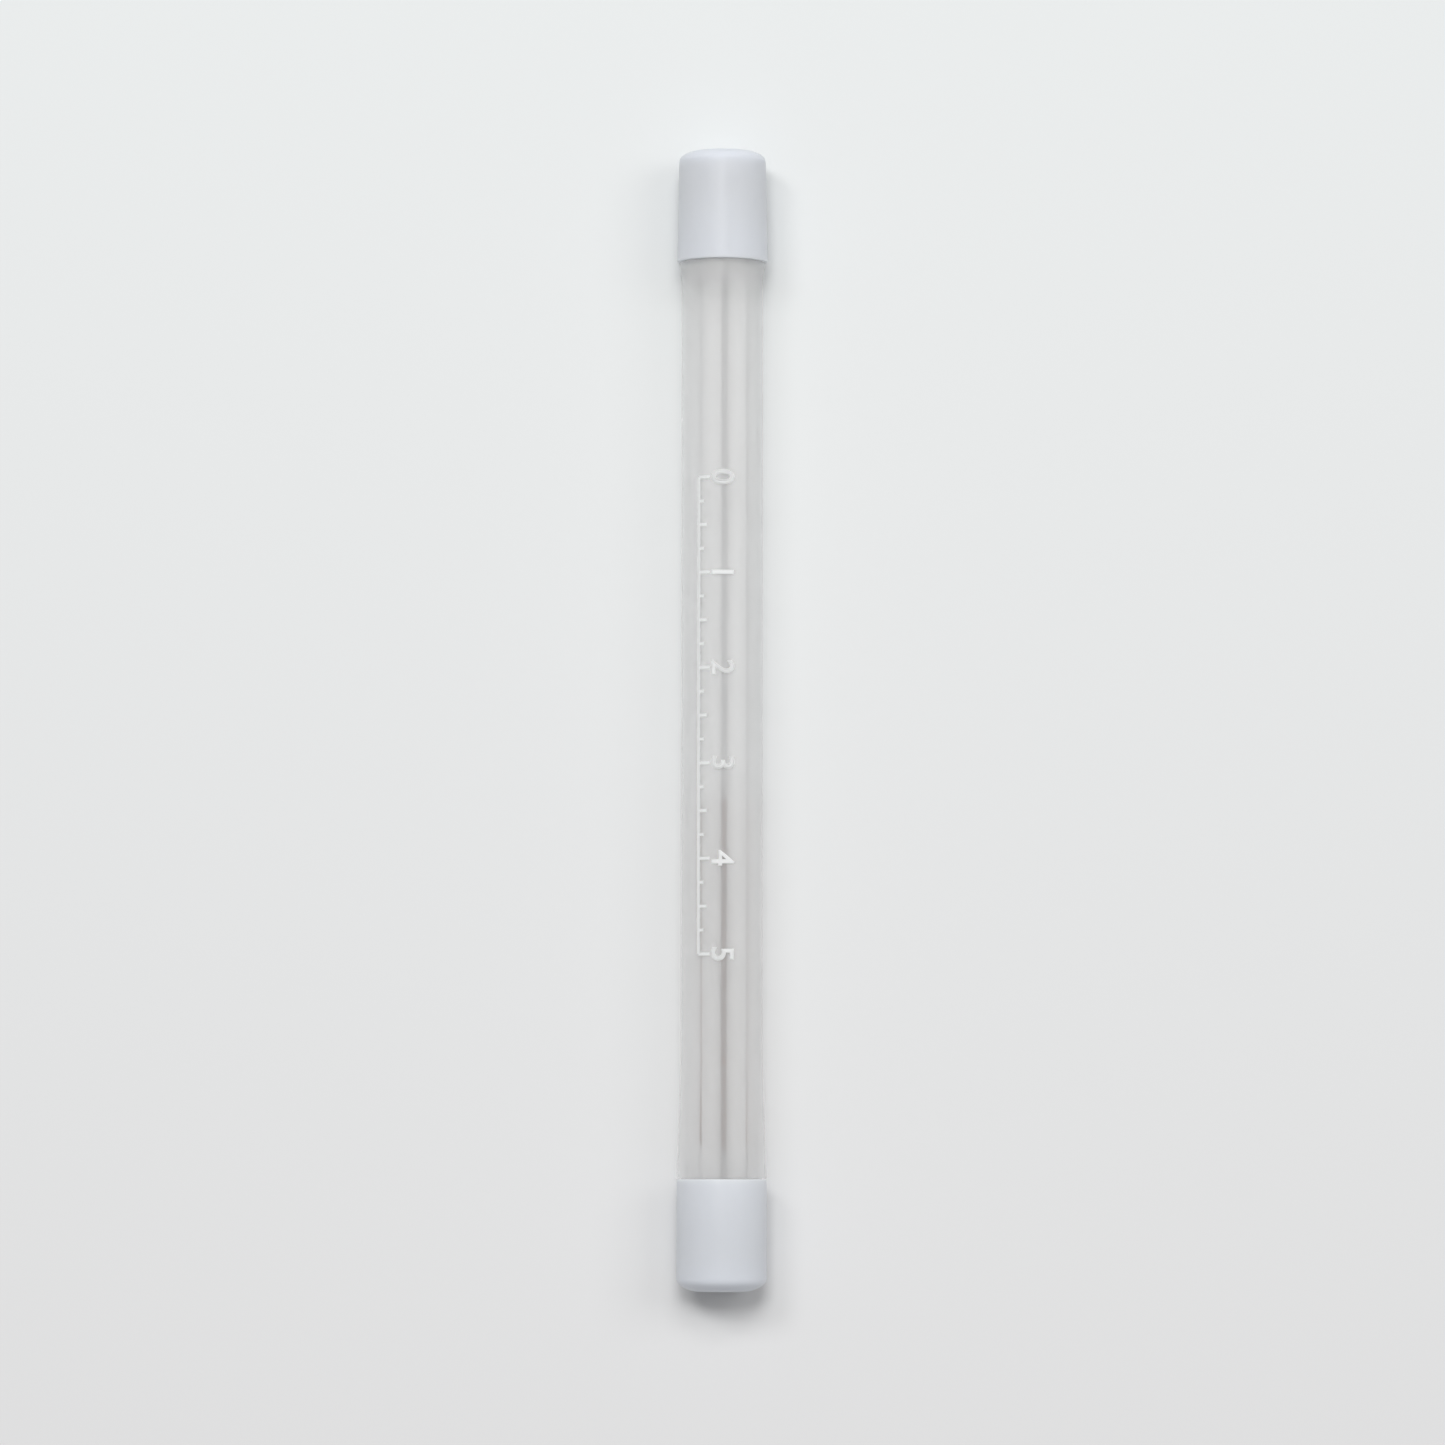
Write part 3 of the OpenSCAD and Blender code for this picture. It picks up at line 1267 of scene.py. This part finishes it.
@dataclass(frozen=True)
class Lamp:
    """One soft lamp.

    Args:
        name: Name of the lamp.
        tilt_x: Angle from overhead towards +X, in degrees.
        tilt_y: Angle from overhead towards +Y, in degrees.
        width: Size of the lamp along X, in metres.
        depth: Size of the lamp along Y, in metres.
        share: Brightness that it gives a level white surface, where 1 renders white.
        distance: Distance from the case, in metres.
    """

    name: str
    tilt_x: float
    tilt_y: float
    width: float
    depth: float
    share: float
    distance: float = 0.95

    def build(self) -> Piece:
        """Makes the lamp, turned towards the case."""
        data = bpy.data.lights.new(self.name, "AREA")
        data.shape = "RECTANGLE"
        data.size = self.width
        data.size_y = self.depth
        lamp = bpy.data.objects.new(self.name, data)
        bpy.context.scene.collection.objects.link(lamp)
        aside, ahead = math.tan(math.radians(self.tilt_x)), math.tan(math.radians(self.tilt_y))
        way = Vector((aside, ahead, 1.0)).normalized()
        lamp.location = way * self.distance
        along = (Vector((0.0, 1.0, 0.0)) - way * way.y).normalized()
        lamp.rotation_euler = Matrix((along.cross(way), along, way)).transposed().to_euler()
        falloff = way.z / (math.pi * self.distance**2)
        data.energy = self.share * math.pi / falloff
        return lamp


@dataclass
class Studio:
    """The pale table, the soft world light and the lamps.

    Args:
        floor_size: Side of the table top, in metres.
        cool: Screen colour of the table towards the top of the picture.
        warm: Its colour towards the bottom.
        tone_span: Length over which one runs into the other, in metres.
        table_roughness: Roughness of the table.
        table_reflection: Level of its surface reflection.
        world_share: Strength of the world light.
        lamps: The lamps.
    """

    floor_size: float = 3.0
    cool: Tone = (227.0, 229.5, 229.5)
    warm: Tone = (226.5, 226.5, 227.0)
    tone_span: float = 0.15
    table_roughness: float = 0.85
    table_reflection: float = 0.1
    world_share: float = 0.305
    lamps: tuple[Lamp, ...] = (
        Lamp("overhead_strip", tilt_x=-3.0, tilt_y=15.0, width=0.3, depth=0.2, share=0.32),
        Lamp("left_window", tilt_x=-24.0, tilt_y=24.0, width=0.25, depth=0.2, share=0.15),
        Lamp("far_strip", tilt_x=3.0, tilt_y=28.0, width=0.35, depth=0.2, share=0.15),
        Lamp("right_fill", tilt_x=38.0, tilt_y=16.0, width=0.45, depth=0.4, share=0.125),
    )

    def table(self) -> Piece:
        """Makes the table top, cooler and a little brighter towards the top of the picture: a painted
        fall-off of the light and its colour.

        Returns:
            The table top.
        """
        half = 0.5 * self.floor_size
        mesh = bpy.data.meshes.new("table_top")
        corners = [(-half, -half, 0.0), (half, -half, 0.0), (half, half, 0.0), (-half, half, 0.0)]
        mesh.from_pydata(corners, [], [(0, 1, 2, 3)])
        top = bpy.data.objects.new("table_top", mesh)
        bpy.context.scene.collection.objects.link(top)
        material = bpy.data.materials.new("table_white")
        material.use_nodes = True
        tree = material.node_tree
        place = add_node(tree, "ShaderNodeTexCoord").outputs["Object"]
        apart = add_node(tree, "ShaderNodeSeparateXYZ", {"Vector": place})
        span = {
            "Value": apart.outputs["Y"],
            "From Min": -0.5 * self.tone_span,
            "From Max": 0.5 * self.tone_span,
        }
        ramp = add_node(tree, "ShaderNodeMapRange", span)
        # Painted light: the table is a little brighter and cooler at the top of the picture, standing in for
        # the light falling off towards the bottom.
        tones = {"Factor": ramp.outputs["Result"], "A": linear(self.warm), "B": linear(self.cool)}
        surface = {
            "Base Color": add_node(tree, "ShaderNodeMix", tones, data_type="RGBA").outputs["Result"],
            "Roughness": self.table_roughness,
            "Specular IOR Level": self.table_reflection,
        }
        feed(tree, tree.nodes["Principled BSDF"], surface)
        mesh.materials.append(material)
        return top

    def world(self) -> bpy.types.World:
        """Makes the world: an even soft light, shown as pale as the table where a camera ray reaches it.

        Returns:
            The world.
        """
        world = bpy.data.worlds.new("soft_room")
        world.use_nodes = True
        tree = world.node_tree
        room = tree.nodes["Background"]
        feed(tree, room, {"Color": (1.0, 1.0, 1.0, 1.0), "Strength": self.world_share})
        seen = add_node(tree, "ShaderNodeBackground", {"Color": linear(self.cool), "Strength": 1.0})
        path = add_node(tree, "ShaderNodeLightPath").outputs["Is Camera Ray"]
        mix = add_node(tree, "ShaderNodeMixShader", {"Fac": path, 1: room.outputs[0], 2: seen.outputs[0]})
        feed(tree, tree.nodes["World Output"], {"Surface": mix.outputs[0]})
        bpy.context.scene.world = world
        return world

    def build(self) -> None:
        """Makes the table, the world and the lamps, and sets the view transform."""
        self.table()
        self.world()
        for lamp in self.lamps:
            lamp.build()
        bpy.context.scene.view_settings.view_transform = "Standard"


def main() -> None:
    """Builds the studio and every piece of the case, in order."""
    logging.basicConfig(level=logging.INFO, format="%(name)s: %(message)s")
    Studio().build()
    Camera().build()
    sizes = CaseSizes()
    lathe = Lathe()
    cap_plastic = CAP_SATIN.build()
    eraser = ERASER.build()
    CaseTube(sizes, lathe).build(FROSTED.build())
    top_cap = SlipCap(
        role=Role.TOP,
        sizes=sizes,
        lathe=lathe,
        length=11.75,
        skirt_wall=0.5,
        closed_end_change=-0.2,
        crown_depth=1.15,
        crown=1.75,
        corner_round=0.9,
    )
    bottom_cap = SlipCap(
        role=Role.BOTTOM,
        sizes=sizes,
        lathe=lathe,
        length=11.75,
        skirt_wall=0.44,
        closed_end_change=0.03,
        crown_depth=1.45,
        crown=2.5,
        corner_round=1.0,
    )
    for cap in (top_cap, bottom_cap):
        cap.build(cap_plastic)
    for side in Side:
        EraserRefill(side, lathe).build(eraser)
    UnderLabel(sizes).build(LABEL_TINT_AND_PAINTED_SHADE.build())
    BarrelScale(sizes).build(WHITE_INK.build())


if __name__ == "__main__":
    main()
